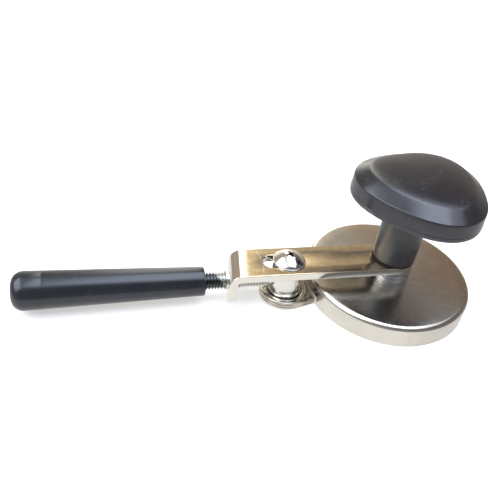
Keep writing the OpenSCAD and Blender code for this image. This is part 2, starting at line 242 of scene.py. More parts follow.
def cup_painted_reflection_and_pits(m, colour, ss):
    """Faint warm brown painted on the top towards the cup's right side, as a painted reflection of the warm room, and a
    sprinkle of bright pits.
    """
    x, y, z = m.xyz()
    top = m.rng(z, 0.0095, 0.0108, 0.0, 1.0)
    big = m.noise(m.obj(), 48.0, 3.0, 0.55, 0.7)
    # painted reflection: warmer towards the right side, on the top face only
    side = m.rng(m.math("ADD", x, m.math("MULTIPLY", y, 0.5)), -0.004, 0.022, 0.0, 1.0, True)
    warm = m.math("MULTIPLY", m.math("MULTIPLY", m.rng(big, 0.36, 0.66, 0.25, 1.0, True), side), m.math("MULTIPLY", top, 0.75))
    colour = m.mixc(warm, colour, (0.66, 0.52, 0.38))
    pit = m.rng(m.noise(m.obj(), 1500.0, 1.0, 0.3), 0.735, 0.765, 0.0, 1.0)
    where = m.rng(m.noise(m.obj(loc=(0.2, 0.1, 0)), 60.0, 2.0, 0.5), 0.45, 0.62, 0.0, 1.0)
    pit = m.math("MULTIPLY", m.math("MULTIPLY", pit, where), top)
    colour = m.mixc(m.math("MULTIPLY", pit, 0.7), colour, (0.95, 0.94, 0.92))
    return colour, m.math("MAXIMUM", ss, m.math("MULTIPLY", pit, 0.8))


def thread_root_shade_and_grip_reflection(m, colour, ss):
    """Painted shade in the thread's roots, taken also as dark oil, and a painted reflection of the black grip near its
    end.
    """
    x, y, z = m.xyz()
    dz = m.math("SUBTRACT", z, ROD_Z * MM)
    r = m.math("SQRT", m.math("ADD", m.math("MULTIPLY", y, y), m.math("MULTIPLY", dz, dz)))
    n = m.noise(m.obj(), 300.0, 3.0, 0.6)
    # painted shade: the roots, below the crests, go dark
    g = m.math("MULTIPLY", m.rng(r, (ROD_R - 0.30) * MM, (ROD_R - 0.75) * MM, 0.0, 0.45), m.rng(n, 0.25, 0.6, 0.7, 1.0))
    colour = m.mixc(g, colour, (0.30, 0.30, 0.305))
    # painted reflection of the black grip: the thread goes dark bluish slate from the grip's end up to a slanted,
    # ragged edge
    edge = m.math("ADD", x, m.math("MULTIPLY", m.math("ADD", dz, y), 0.50))
    edge = m.math("ADD", edge, m.math("MULTIPLY", m.math("SUBTRACT", m.noise(m.obj(), 900.0, 2.0, 0.5), 0.5), 0.0016))
    grip_reflection = m.rng(edge, -0.08485, -0.08520, 0.0, 0.90)
    return m.mixc(grip_reflection, colour, (0.085, 0.095, 0.105)), ss


HEAD_RR = (HEAD_R ** 2 + HEAD_H ** 2) / (2 * HEAD_H)
HEAD_CZ = ARM_TOP + 0.65 + HEAD_H - HEAD_RR


def recess_darkening(m, colour, ss):
    """Dark brown inside the cross recess, below the dome's own surface."""
    x, y, z = m.xyz()
    dx = m.math("ADD", x, POST_X * MM)
    dz = m.math("SUBTRACT", z, HEAD_CZ * MM)
    q = m.math("ADD", m.math("MULTIPLY", dx, dx), m.math("ADD", m.math("MULTIPLY", y, y), m.math("MULTIPLY", dz, dz)))
    depth = m.rng(m.math("SQRT", q), (HEAD_RR - 0.08) * MM, (HEAD_RR - 0.45) * MM, 0.0, 1.0)
    near = m.rng(m.math("ADD", m.math("MULTIPLY", dx, dx), m.math("MULTIPLY", y, y)), (3.6 * MM) ** 2, (3.3 * MM) ** 2, 0.0, 1.0)
    g = m.math("MULTIPLY", depth, near)
    return m.mixc(m.math("MULTIPLY", g, 0.9), colour, (0.10, 0.085, 0.06)), m.math("MAXIMUM", ss, g)


def ring_painted_shade_and_grease(m, colour, ss):
    """Painted shade, taken also as grease, in the ring's grooves, round the foot of the post, and on the tongue by the
    cup.
    """
    x, y, z = m.xyz()
    dx = m.math("ADD", x, POST_X * MM)
    r = m.math("SQRT", m.math("ADD", m.math("MULTIPLY", dx, dx), m.math("MULTIPLY", y, y)))
    n = m.noise(m.obj(), 260.0, 3.0, 0.6)
    groove = m.math("MULTIPLY", m.rng(r, (RING_R - 0.15) * MM, (RING_R - 0.35) * MM, 0.0, 1.0),
                    m.rng(z, (RING_TOP - 0.6) * MM, (RING_TOP - 0.8) * MM, 0.0, 1.0))
    foot = m.rng(r, 8.9 * MM, 8.5 * MM, 0.0, 1.0)
    tongue = m.rng(dx, 5.5 * MM, 8.5 * MM, 0.0, 1.0, True)
    # painted shade in the crevices round the post and by the cup
    g = m.math("MAXIMUM", m.math("MAXIMUM", m.math("MULTIPLY", groove, 0.75), m.math("MULTIPLY", foot, 0.75)), m.math("MULTIPLY", tongue, 0.62))
    g = m.math("MULTIPLY", g, m.rng(n, 0.25, 0.6, 0.75, 1.0))
    return m.mixc(g, colour, (0.13, 0.115, 0.095)), ss


M_CUP = metal("cup_nickel", (0.72, 0.69, 0.64), (0.60, 0.56, 0.50), 0.215, (1, 1, 1), 900.0, 0.09, 0.40, 0.10, 0.12, specks=0.6, extra=cup_painted_reflection_and_pits)
M_ARM = metal("arm_nickel", (0.80, 0.78, 0.74), (0.70, 0.67, 0.61), 0.15, (0.8, 1, 1), 900.0, 0.07, 0.35, 0.18, 0.10, extra=arm_rub_mark_and_painted_reflection)
M_RING = metal("ring_nickel", (0.60, 0.57, 0.51), (0.46, 0.42, 0.35), 0.14, (1, 1, 4), 600.0, 0.05, 0.4, 0.3, 0.10, extra=ring_painted_shade_and_grease)
M_STEEL = metal("bright_steel", (0.80, 0.79, 0.76), (0.68, 0.66, 0.62), 0.18, (1, 1, 5), 800.0, 0.06, 0.3, 0.3, 0.12)
M_BOSS = metal("turned_steel", (0.56, 0.57, 0.58), (0.42, 0.43, 0.44), 0.24, (1, 1, 6), 800.0, 0.05, 0.3, 0.3, 0.12)
M_ZINC = metal("zinc_plate", (0.78, 0.79, 0.79), (0.62, 0.63, 0.62), 0.20, (1, 1, 1), 1200.0, 0.07, 0.35, 0.3, 0.12)
M_THREAD = metal("thread_zinc", (0.60, 0.61, 0.58), (0.50, 0.51, 0.49), 0.27, (1, 1, 1), 1200.0, 0.06, 0.35, 0.2, 0.08, extra=thread_root_shade_and_grip_reflection)
M_SCREW = metal("polished_head", (0.88, 0.87, 0.85), (0.78, 0.76, 0.72), 0.045, (1, 1, 1), 900.0, 0.02, 0.3, 0.15, 0.008, extra=recess_darkening)
M_TOOL = metal("ground_tool_steel", (0.50, 0.51, 0.53), (0.38, 0.39, 0.41), 0.28, (6, 1, 1), 900.0, 0.08, 0.4, 0.4, 0.2)
M_BRASS = metal("turned_brass", (0.78, 0.60, 0.28), (0.62, 0.45, 0.19), 0.25, (1, 1, 5), 700.0, 0.08, 0.4, 0.3, 0.15)
M_GRIP = plastic("grip_black", (0.012, 0.013, 0.017), (0.016, 0.017, 0.023), 0.22, 0.30, 0.04, (2.0, 6.0), 0.65, tint=(0.88, 0.92, 1.0))
M_KNOB = plastic("knob_black", (0.015, 0.014, 0.017), (0.021, 0.019, 0.023), 0.20, 0.30, 0.04, (4.0, 9.0), 0.75, tint=(0.90, 0.92, 1.0))
M_STEM = plastic("stem_grey", (0.022, 0.022, 0.026), (0.030, 0.029, 0.032), 0.34, 0.25, 0.06, (8.0, 3.0), 0.55)
M_WASH = plastic("washer_black", (0.008, 0.008, 0.008), (0.012, 0.012, 0.012), 0.6, 0.1, 0.15, (8.0, 3.0), 0.3)


# ------------------------------------------------------------------ mesh helpers
def rounded(pts, closed=True, n=6):
    """Profile points (a, b, radius) -> (a, b) with each corner turned on its radius."""
    out = []
    m = len(pts)
    for i, (a, b, f) in enumerate(pts):
        ends = not closed and i in (0, m - 1)
        if f <= 0 or ends:
            out.append((a, b))
            continue
        p = np.array([a, b], float)
        q = np.array(pts[i - 1][:2], float)
        r = np.array(pts[(i + 1) % m][:2], float)
        u, v = q - p, r - p
        lu, lv = np.linalg.norm(u), np.linalg.norm(v)
        u, v = u / lu, v / lv
        ang = math.acos(max(-1, min(1, float(u @ v))))
        if ang > pi - 0.02:
            out.append((a, b))
            continue
        t = min(f / math.tan(ang / 2), 0.48 * lu, 0.48 * lv)
        rr = t * math.tan(ang / 2)
        w = (u + v) / np.linalg.norm(u + v)
        c = p + w * (rr / math.sin(ang / 2))
        s0, s1 = p + u * t, p + v * t
        a0 = math.atan2(*(s0 - c)[::-1])
        a1 = math.atan2(*(s1 - c)[::-1])
        da = (a1 - a0 + pi) % (2 * pi) - pi
        k = max(2, int(math.ceil(abs(da) / (pi / 2) * n)))
        for j in range(k + 1):
            a_ = a0 + da * j / k
            out.append((c[0] + rr * math.cos(a_), c[1] + rr * math.sin(a_)))
    return out


def place_z(cx=0.0, cy=0.0):
    return lambda r, t, s: (cx + r * math.cos(t), cy + r * math.sin(t), s)


def place_x(r, t, s):
    """A lathe axis along -X at the feed screw's height; s is the distance from the cup's axis."""
    return (-s, r * math.cos(t), ROD_Z + r * math.sin(t))


def lathe(prof, n=128, place=None, closed=True, rad=None):
    """prof: list of (r, s). Returns verts, faces."""
    place = place or place_z()
    rad = rad or (lambda i, r, t: r)
    verts, rows = [], []
    for i, (r, s) in enumerate(prof):
        if r < 1e-6:
            rows.append([len(verts)])
            verts.append(place(0.0, 0.0, s))
        else:
            rows.append(list(range(len(verts), len(verts) + n)))
            verts += [place(rad(i, r, 2 * pi * j / n), 2 * pi * j / n, s) for j in range(n)]
    faces = []
    m = len(rows)
    for i in range(m if closed else m - 1):
        a, b = rows[i], rows[(i + 1) % m]
        if len(a) == 1 and len(b) == 1:
            continue
        for j in range(n):
            k = (j + 1) % n
            if len(a) == 1:
                faces.append((a[0], b[j], b[k]))
            elif len(b) == 1:
                faces.append((a[j], b[0], a[k]))
            else:
                faces.append((a[j], b[j], b[k], a[k]))
    return verts, faces


def inset(loop, d):
    """Moves a 2D loop by d towards its left side."""
    p = np.array(loop, float)
    e = np.roll(p, -1, 0) - p
    e /= np.linalg.norm(e, axis=1)[:, None]
    n1 = np.stack([-e[:, 1], e[:, 0]], 1)
    n0 = np.roll(n1, 1, 0)
    m = n0 + n1
    m /= (m * n1).sum(1)[:, None]
    return p + m * d


def prism(loops, z0, z1, b=0.3, nb=4, b0=None):
    """A plate with rounded edges. loops[0] runs anticlockwise, holes run clockwise."""
    b0 = b if b0 is None else b0
    rings = []
    for i in range(nb + 1):
        t = i / nb * pi / 2
        rings.append((b * (1 - math.sin(t)), z1 - b * (1 - math.cos(t))))
    for i in range(nb + 1):
        t = (1 - i / nb) * pi / 2
        rings.append((b0 * (1 - math.sin(t)), z0 + b0 * (1 - math.cos(t))))
    verts, faces, top, bot = [], [], [], []
    for loop in loops:
        n = len(loop)
        ids = []
        for d, z in rings:
            q = inset(loop, d)
            ids.append(list(range(len(verts), len(verts) + n)))
            verts += [(x, y, z) for x, y in q]
        for a, c in zip(ids[:-1], ids[1:]):
            for j in range(n):
                k = (j + 1) % n
                faces.append((a[j], c[j], c[k], a[k]))
        top.append(ids[0])
        bot.append(ids[-1])
    for ids_set, flip in ((top, False), (bot, True)):
        flat = [i for ids in ids_set for i in ids]
        tris = tessellate_polygon([[Vector((verts[i][0], verts[i][1], 0)) for i in ids] for ids in ids_set])
        for t in tris:
            f = tuple(flat[i] for i in t)
            faces.append(f[::-1] if flip else f)
    return verts, faces


def mesh_obj(name, verts, faces, scale=MM):
    me = bpy.data.meshes.new(name)
    me.from_pydata([tuple(c * scale for c in v) for v in verts], [], faces)
    me.update()
    bm = bmesh.new()
    bm.from_mesh(me)
    bmesh.ops.remove_doubles(bm, verts=bm.verts, dist=1e-7)
    bmesh.ops.dissolve_degenerate(bm, edges=bm.edges, dist=1e-8)
    bmesh.ops.recalc_face_normals(bm, faces=bm.faces)
    bm.to_mesh(me)
    bm.free()
    o = bpy.data.objects.new(name, me)
    scene.collection.objects.link(o)
    return o


def boolean(o, tool, op="DIFFERENCE"):
    md = o.modifiers.new("b", "BOOLEAN")
    md.operation = op
    md.object = tool
    md.solver = "EXACT"
    dg = bpy.context.evaluated_depsgraph_get()
    me = bpy.data.meshes.new_from_object(o.evaluated_get(dg))
    o.modifiers.clear()
    old = o.data
    o.data = me
    me.name = old.name
    bpy.data.meshes.remove(old)
    t = tool.data
    bpy.data.objects.remove(tool)
    bpy.data.meshes.remove(t)
    return o


def box_tool(lo, hi):
    v = [(x, y, z) for x in (lo[0], hi[0]) for y in (lo[1], hi[1]) for z in (lo[2], hi[2])]
    f = [(0, 1, 3, 2), (4, 6, 7, 5), (0, 4, 5, 1), (2, 3, 7, 6), (0, 2, 6, 4), (1, 5, 7, 3)]
    return mesh_obj("tool", v, f)


def cyl_tool(r, s0, s1, place, n=64, r2=None):
    v, f = lathe([(0, s0), (r, s0), (r2 or r, s1), (0, s1)], n, place, closed=False)
    return mesh_obj("tool", v, f)


def dress(o, mat, body, nodes=(), sharp=32.0):
    me = o.data
    me.materials.clear()
    me.materials.append(mat)
    bm = bmesh.new()
    bm.from_mesh(me)
    bmesh.ops.remove_doubles(bm, verts=bm.verts, dist=2e-7)
    bm.to_mesh(me)
    bm.free()
    me.shade_smooth()
    me.set_sharp_from_angle(angle=math.radians(sharp))
    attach(o, body)
    if nodes:
        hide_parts(*nodes)
    return o


def keep_cad(node, mat, bevel=0.12, seg=2):
    """A carried-over CAD node: material, welded vertices and small rounded edges."""
    o = NODES[node]
    o.data.materials.clear()
    o.data.materials.append(mat)
    w = o.modifiers.new("weld", "WELD")
    w.merge_threshold = 1e-6
    if bevel:
        b = o.modifiers.new("edge", "BEVEL")
        b.width = bevel * MM
        b.segments = seg
        b.limit_method = "ANGLE"
        b.angle_limit = math.radians(38)
        b.harden_normals = False
    o.data.shade_smooth()
    return o


# ------------------------------------------------------------------ cup
def build_cup():
    cr = CUP_R - CUP_EDGE
    prof = [(5.05, CUP_H - CUP_T), (5.05, CUP_H), (11.5, CUP_H), (24.0, CUP_H), (33.0, CUP_H - 0.012)]
    e = CUP_EDGE
    # the top edge is drawn over a quarter circle of radius CUP_EDGE
    for i in range(1, 19):
        a = pi / 2 * (1 - i / 18)
        prof.append((cr + e * math.cos(a), CUP_H - e + e * math.sin(a)))
    prof += [(CUP_R, 6.0), (CUP_R, 3.0), (CUP_R, 0.5)]
    prof += [(CUP_R - 0.18, 0.12), (CUP_R - 0.45, 0.0), (CUP_R - CUP_T + 0.4, 0.0), (CUP_R - CUP_T + 0.15, 0.1), (CUP_R - CUP_T, 0.4)]
    prof += [(CUP_R - CUP_T, 4.0)]
    for i in range(0, 13):
        a = pi / 2 * (i / 12)
        prof.append((cr + (e - CUP_T) * math.cos(a), CUP_H - e + (e - CUP_T) * math.sin(a)))
    prof += [(25.0, CUP_H - CUP_T), (12.0, CUP_H - CUP_T)]
    v, f = lathe(prof, 288)
    o = mesh_obj("cup_shell", v, f)
    # notch for the cutter's tongue, with rounded upper corners
    w, h, q = NOTCH_W, NOTCH_H, 1.2
    loop = [(-w, -2.0), (w, -2.0)]
    loop += [(w - q + q * math.cos(a), h - q + q * math.sin(a)) for a in np.linspace(0, pi / 2, 7)]
    loop += [(-w + q + q * math.cos(a), h - q + q * math.sin(a)) for a in np.linspace(pi / 2, pi, 7)]
    v, f = prism([loop], -5, 5, 0.0001, 1)
    t = mesh_obj("tool", [(-38 - z, y, x) for y, x, z in v], f)
    boolean(o, t)
    return dress(o, M_CUP, "frame", ["cup"], 40)


# ------------------------------------------------------------------ arm
def arc_pts(cx, cy, r, a0, a1, n):
    return [(cx + r * math.cos(a0 + (a1 - a0) * i / n), cy + r * math.sin(a0 + (a1 - a0) * i / n)) for i in range(n + 1)]


def build_arm():
    fx = LEG_X - BEND_R
    rm = BEND_R - ARM_T / 2
    lb = rm * pi / 2
    leg = ARM_TOP - BEND_R - LEG_Z
    end = fx + lb + leg
    w = ARM_W
    outer = arc_pts(0, 0, w, -pi / 2, pi / 2, 48)
    xs = [-fx * k / 6 for k in range(1, 7)] + [-(fx + lb * k / 16) for k in range(1, 17)]
    outer += [(x, w) for x in xs]
    outer += arc_pts(-end + 0.9, w - 0.9, 0.9, pi / 2, pi, 6)
    outer += arc_pts(-end + 0.9, -w + 0.9, 0.9, pi, 1.5 * pi, 6)
    outer += [(x, -w) for x in reversed(xs)]
    slot = arc_pts(-SLOT_IN - SLOT_W, 0, SLOT_W, pi / 2, -pi / 2, 32) + arc_pts(-SLOT_OUT + SLOT_W, 0, SLOT_W, -pi / 2, -1.5 * pi, 32)
    hole = arc_pts(0, 0, 4.05, 2 * pi, 0, 40)[:-1]
    v, f = prism([outer, slot, hole], ARM_Z, ARM_TOP, 0.34, 4)
    o = mesh_obj("arm_bar", v, f)
    bm = bmesh.new()
    bm.from_mesh(o.data)
    for k in range(-5, 17):
        x = -(fx + (lb * k / 16 if k >= 0 else k * 0.68)) * MM
        bmesh.ops.bisect_plane(bm, geom=bm.verts[:] + bm.edges[:] + bm.faces[:], plane_co=(x, 0, 0), plane_no=(1, 0, 0), dist=1e-7)
    zc, zm = ARM_TOP - BEND_R, (ARM_TOP + ARM_Z) / 2
    for vt in bm.verts:
        x, y, z = (c / MM for c in vt.co)
        s = -x - fx
        if s > 0:
            n = z - zm
            if s <= lb:
                t = s / rm
                vt.co = Vector((-fx - (rm + n) * math.sin(t), y, zc + (rm + n) * math.cos(t))) * MM
            else:
                vt.co = Vector((-fx - (rm + n), y, zc - (s - lb))) * MM
        # the leg was bent some degrees off square, and the flat rolls off a little before the bend
        if s > -0.01:
            vt.co.x += 0.155 * y * MM
        elif s > -3.4:
            vt.co.x += 0.155 * y * MM
            vt.co.z -= 0.11 * ((s + 3.4) / 3.4) ** 2 * MM
        if s > -0.01:
            vt.co.z -= 0.11 * max(0.0, 1.0 - max(s, 0.0) / lb) * MM
    bm.to_mesh(o.data)
    bm.free()
    boolean(o, cyl_tool(4.5, LEG_X - 8, LEG_X + 6, place_x, 64))
    return dress(o, M_ARM, "frame", ["arm"], 35)


# ------------------------------------------------------------------ carriage
def build_post():
    z1 = ARM_Z - 0.1
    prof = rounded([(0, 1.7, 0), (4.98, 1.7, 0.3), (4.98, 3.0, 0), (7.95, 3.0, 0.2), (7.95, 4.45, 0.3), (7.55, 4.85, 0.15),
                    (POST_R, 5.0, 0.1), (POST_R, z1, 0.4), (0, z1, 0)], closed=False)
    v, f = lathe(prof, 160, place_z(-POST_X), closed=False)
    o = mesh_obj("post_body", v, f)
    boolean(o, cyl_tool(3.36, POST_X - 6.9, POST_X + 9, place_x, 64))
    return dress(o, M_STEEL, "carriage", ["post"], 32)


def build_head():
    zb = ARM_TOP + 0.65
    rr = (HEAD_R ** 2 + HEAD_H ** 2) / (2 * HEAD_H)
    a0 = math.asin((rr - HEAD_H) / rr)
    prof = [(0, 13.1), (1.2, 13.1), (1.5, 13.4), (1.5, 14.5), (3.0, 14.5), (3.0, ARM_Z - 0.1), (3.9, ARM_Z - 0.1), (3.9, zb),
            (HEAD_R - 0.45, zb), (HEAD_R - 0.2, zb + 0.08), (HEAD_R - 0.06, zb + 0.25)]
    n = 40
    for i in range(n + 1):
        a = a0 + 0.035 + (pi / 2 - a0 - 0.035) * i / n
        prof.append((rr * math.cos(a) if i < n else 0.0, zb + HEAD_H - rr + rr * math.sin(a)))
    v, f = lathe(prof, 160, place_z(-POST_X), closed=False)
    o = mesh_obj("screw_head", v, f)
    zt = zb + HEAD_H
    for q in (0.35, 0.35 + pi / 2):
        w0, w1, l0, l1, d = 0.36, 0.60, 1.1, 2.7, 1.9
        pts = []
        for zz, ww, ll in ((zt - d, w0, l0), (zt + 0.6, w1, l1)):
            pts += [(-ll, -ww, zz), (ll, -ww, zz), (ll, ww, zz), (-ll, ww, zz)]
        vv = []
        for x, y, z in pts:
            vv.append((-POST_X + x * math.cos(q) - y * math.sin(q), x * math.sin(q) + y * math.cos(q), z))
        ff = [(3, 2, 1, 0), (4, 5, 6, 7), (0, 1, 5, 4), (1, 2, 6, 5), (2, 3, 7, 6), (3, 0, 4, 7)]
        boolean(o, mesh_obj("tool", vv, ff))
    return dress(o, M_SCREW, "carriage", ["post_screw"], 30)


def build_ring():
    zt, zb, R = RING_TOP, RING_BOT, RING_R
    prof = rounded([(6.6, zb, 0.15), (R, zb, 0.45), (R, 1.35, 0.12), (R - 0.42, 1.5, 0.1), (R - 0.42, 1.82, 0.1), (R, 1.97, 0.12),
                    (R, 2.6, 0.12), (R - 0.42, 2.75, 0.1), (R - 0.42, 3.07, 0.1), (R, 3.22, 0.12), (R, zt, 0.5),
                    (10.15, zt, 0.12), (9.9, zt - 0.3, 0.08), (9.55, zt - 0.3, 0.08), (9.3, zt - 0.04, 0.1),
                    (8.75, zt - 0.22, 0.15), (8.3, zt - 0.85, 0.1), (8.3, 3.0, 0), (5.02, 3.0, 0), (5.02, 1.7, 0), (6.6, 1.7, 0)], n=4)
    v, f = lathe(prof, 192, place_z(-POST_X))
    o = mesh_obj("cutter_ring_body", v, f)
    loop = [(-POST_X + 1.0, -11.38), (-POST_X + 3.6, -11.05), (-46.5, -10.4), (-43.0, -9.45), (-41.2, -8.9)]
    loop += arc_pts(-39.9, -7.5, 1.0, -pi / 3, 0, 4) + arc_pts(-39.9, 7.5, 1.0, 0, pi / 3, 4)
    loop += [(-41.2, 8.9), (-43.0, 9.45), (-46.5, 10.4), (-POST_X + 3.6, 11.05), (-POST_X + 1.0, 11.38)]
    v, f = prism([loop], zb, 3.5, 0.5, 4, 0.25)
    t = mesh_obj("tongue", v, f)
    boolean(t, cyl_tool(8.9, -1, 6, place_z(-POST_X), 96))
    boolean(o, t, "UNION")
    boolean(o, box_tool((-46.2, -4.1, -1), (-36, 4.1, 1.5)))
    for y in (-2.2, 2.2):
        boolean(o, cyl_tool(1.0, 0.5, 2.9, place_z(-43.4, y), 24))
    return dress(o, M_RING, "carriage", ["cutter_ring"], 32)


def build_screw_washer():
    prof = rounded([(3.98, ARM_TOP + 0.05, 0.1), (7.7, ARM_TOP + 0.05, 0.2), (7.7, ARM_TOP + 0.65, 0.25), (3.98, ARM_TOP + 0.65, 0.1)])
    v, f = lathe(prof, 144, place_z(-POST_X))
    return dress(mesh_obj("screw_washer_ring", v, f), M_ZINC, "carriage", ["screw_washer"], 32)


# ------------------------------------------------------------------ feed screw and grip
def build_rod():
    """A real helical 60 degree thread between the post and the grip, with a plain turned end."""
    n = 48
    s0, s1 = 60.9, 109.2
    turns = int((s1 - s0) / PITCH)
    steps = turns * n
    r0, r1 = ROD_R - 0.80, ROD_R
    cell = [(0.0, r0), (0.06, r0 - 0.02), (0.18, r0 - 0.02), (0.24, r0), (0.54, r1 - 0.03), (0.57, r1), (0.67, r1), (0.70, r1 - 0.03)]
    verts, faces = [], []
    m = len(cell)
    for i in range(steps + 1):
        t = 2 * pi * i / n
        base = s0 + PITCH * i / n
        fade = min(1.0, i / (0.9 * n), (steps - i) / (0.9 * n))
        for u, r in cell:
            rr = r0 + 0.02 + (r - r0) * fade if r > r0 + 0.1 else r
            verts.append(place_x(rr, t, base + PITCH * u))
    for i in range(steps):
        for k in range(m - 1):
            a, b = i * m + k, (i + 1) * m + k
            faces.append((a, b, b + 1, a + 1))
        # close the cell to the next turn
        j = i + n
        if j + 1 <= steps:
            faces.append((i * m + m - 1, (i + 1) * m + m - 1, (j + 1) * m, j * m))
    o = mesh_obj("feed_screw_thread", verts, faces)
    prof = rounded([(0, 46.8, 0), (3.3, 46.8, 0.6), (3.3, 50.5, 0.1), (2.0, 50.7, 0.1), (2.0, 54.5, 0.1), (3.3, 54.7, 0.1), (3.3, 60.5, 0.15),
                    (3.12, 60.9, 0), (3.12, 109.2, 0), (3.4, 109.4, 0.1), (3.4, 110, 0.3), (0, 110, 0)], closed=False)
    v, f = lathe(prof, 96, place_x, closed=False)
    core = mesh_obj("feed_screw_core", v, f)
    dress(o, M_THREAD, "handle", ["feed_rod"], 24)
    dress(core, M_ZINC, "handle", ["feed_rod"], 32)
    return o, core


def grip_r(s):
    return GR0 + (GR1 - GR0) * (s - GRIP0) / (GRIP1 - 6 - GRIP0)


def build_grip():
    xe = GRIP1 - GCAP
    pts = [(ROD_R + 0.02, GRIP0 + 0.5, 0), (ROD_R + 0.35, GRIP0 + 0.05, 0.2), (GR0, GRIP0, 0.55)]
    pts += [(grip_r(s), s, 0) for s in np.linspace(GRIP0 + 4, xe - 1.0, 14)]
    pts += [(grip_r(xe), xe - 0.012, 0.07), (4.4, xe - 0.012, 0), (4.4, xe + 3, 0), (0, xe + 3, 0), (0, 113, 0), (5.2, 113, 0), (5.2, GRIP0 + 3, 0), (ROD_R + 0.02, GRIP0 + 3, 0)]
    v, f = lathe(rounded(pts, closed=True), 160, place_x)
    o = mesh_obj("grip_body", v, f)
    return dress(o, M_GRIP, "handle", ["grip"], 32)


def build_grip_cap():
    xe = GRIP1 - GCAP
    rc = 5.2
    pts = [(4.3, xe + 0.012), (grip_r(xe) - 0.07, xe + 0.012), (grip_r(xe) - 0.02, xe + 0.03), (grip_r(xe), xe + 0.09)]
    n = 22
    for i in range(n + 1):
        a = pi / 2 * i / n
        pts.append((GR1 - rc + rc * math.cos(a) ** 0.92 if i < n else GR1 - rc, GRIP1 - rc + rc * math.sin(a)))
    pts += [(0, GRIP1), (0, xe + 3.0), (4.3, xe + 3.0)]
    v, f = lathe(pts, 160, place_x)
    return dress(mesh_obj("grip_end", v, f), M_GRIP, "handle", ["grip_end_cap"], 40)


def build_leg_nut():
    s = LEG_X
    prof = rounded([(4.05, s - ARM_T + 0.03, 0.12), (4.49, s - ARM_T + 0.03, 0.1), (4.49, s + 1.5, 0.2), (4.05, s + 1.5, 0.15)])
    v, f = lathe(prof, 96, place_x)
    return dress(mesh_obj("leg_nut_body", v, f), M_ZINC, "frame", ["leg_nut"], 32)


# ------------------------------------------------------------------ boss, washers, stem
def build_boss():
    z0 = CUP_H
    z1 = ARM_Z
    prof = rounded([(4.05, z0, 0), (10.2, z0, 0.25), (10.2, z0 + 1.15, 0.2), (9.9, z0 + 1.3, 0.08), (9.9, z0 + 1.65, 0.08), (10.2, z0 + 1.8, 0.2),
                    (10.2, z0 + 3.1, 0.2), (9.9, z0 + 3.25, 0.08), (9.9, z0 + 3.6, 0.08), (10.2, z0 + 3.75, 0.2), (10.2, z1, 0.25), (4.05, z1, 0)], n=4)
    v, f = lathe(prof, 144)
    return dress(mesh_obj("boss_body", v, f), M_BOSS, "frame", ["boss_bush"], 32)


def build_thrust():
    # the washer is real; its near-black colour and its width out to the stem paint the shadow gap under the stem
    prof = rounded([(8.2, ARM_TOP, 0.1), (10.1, ARM_TOP, 0.15), (10.1, ARM_TOP + 0.85, 0.2), (8.2, ARM_TOP + 0.85, 0.1)])
    v, f = lathe(prof, 128)
    return dress(mesh_obj("thrust_ring", v, f), M_WASH, "frame", ["thrust_washer"], 32)


def build_stem():
    z = STEM_Z
    prof = rounded([(8.2, z, 0.15), (STEM_R, z, 0.35), (STEM_R, KZ0 - 0.6, 0.3), (STEM_R + 0.0, KZ0 + 2.4, 0), (13.0, KZ0 + 2.4, 0.1), (13.0, KZ0 + 4.4, 0.3), (6.0, KZ0 + 4.4, 0.2),
                    (6.0, 29.6, 0), (8.2, 28.8, 0)])
    v, f = lathe(prof, 160)
    return dress(mesh_obj("stem_tube", v, f), M_STEM, "palm", ["knob_stem"], 32)


def lobed(prof, n=216):
    """A lathe whose radius carries the knob's three soft lobes; prof holds (r, z, share of the lobe)."""
    ks = [p[2] for p in prof]
    place = lambda r, t, s: (KOX + r * math.cos(t), KOY + r * math.sin(t), s)
    return lathe([(p[0], p[1]) for p in prof], n, place, closed=True,
                 rad=lambda i, r, t: r + ks[i] * math.cos(3 * (t - KPH)))


def with_lobe(pts, k=None):
    out = []
    for r, z in pts:
        f = min(1.0, max(0.0, (r - 4.0) / 18.0))
        f = f * f * (3 - 2 * f)
        out.append((r, z, LOBE * f if k is None else k))
    return out


def build_cap():
    z = KZ0 + 2.42
    R = KNOB_R
    out = rounded([(R + 0.42, z, 0.22), (R + 0.30, z + 1.2, 0), (R + 0.02, KZ1 - 0.5, 0.0), (R - 0.12, KZ1 + 0.02, 0.62),
                   (R - 3.4, KZ1 + 1.95, 0.0), (R - 6.3, KZ2 - 0.06, 5.0), (R - 11.0, KZ2 + 0.86, 0), (12.0, KZ3 - 0.42, 0), (6.0, KZ3 - 0.09, 0), (0, KZ3, 0)], closed=False, n=8)
    out = [(R - 2.4, z)] + out
    inn = [(0, KZ2 - 2.6), (12.0, KZ2 - 2.6), (R - 8.5, KZ2 - 2.6), (R - 3.0, KZ1 - 1.6), (R - 2.4, z + 0.3)]
    v, f = lobed(with_lobe(out + inn))
    return dress(mesh_obj("palm_top", v, f), M_KNOB, "palm", ["palm_cap"], 34)


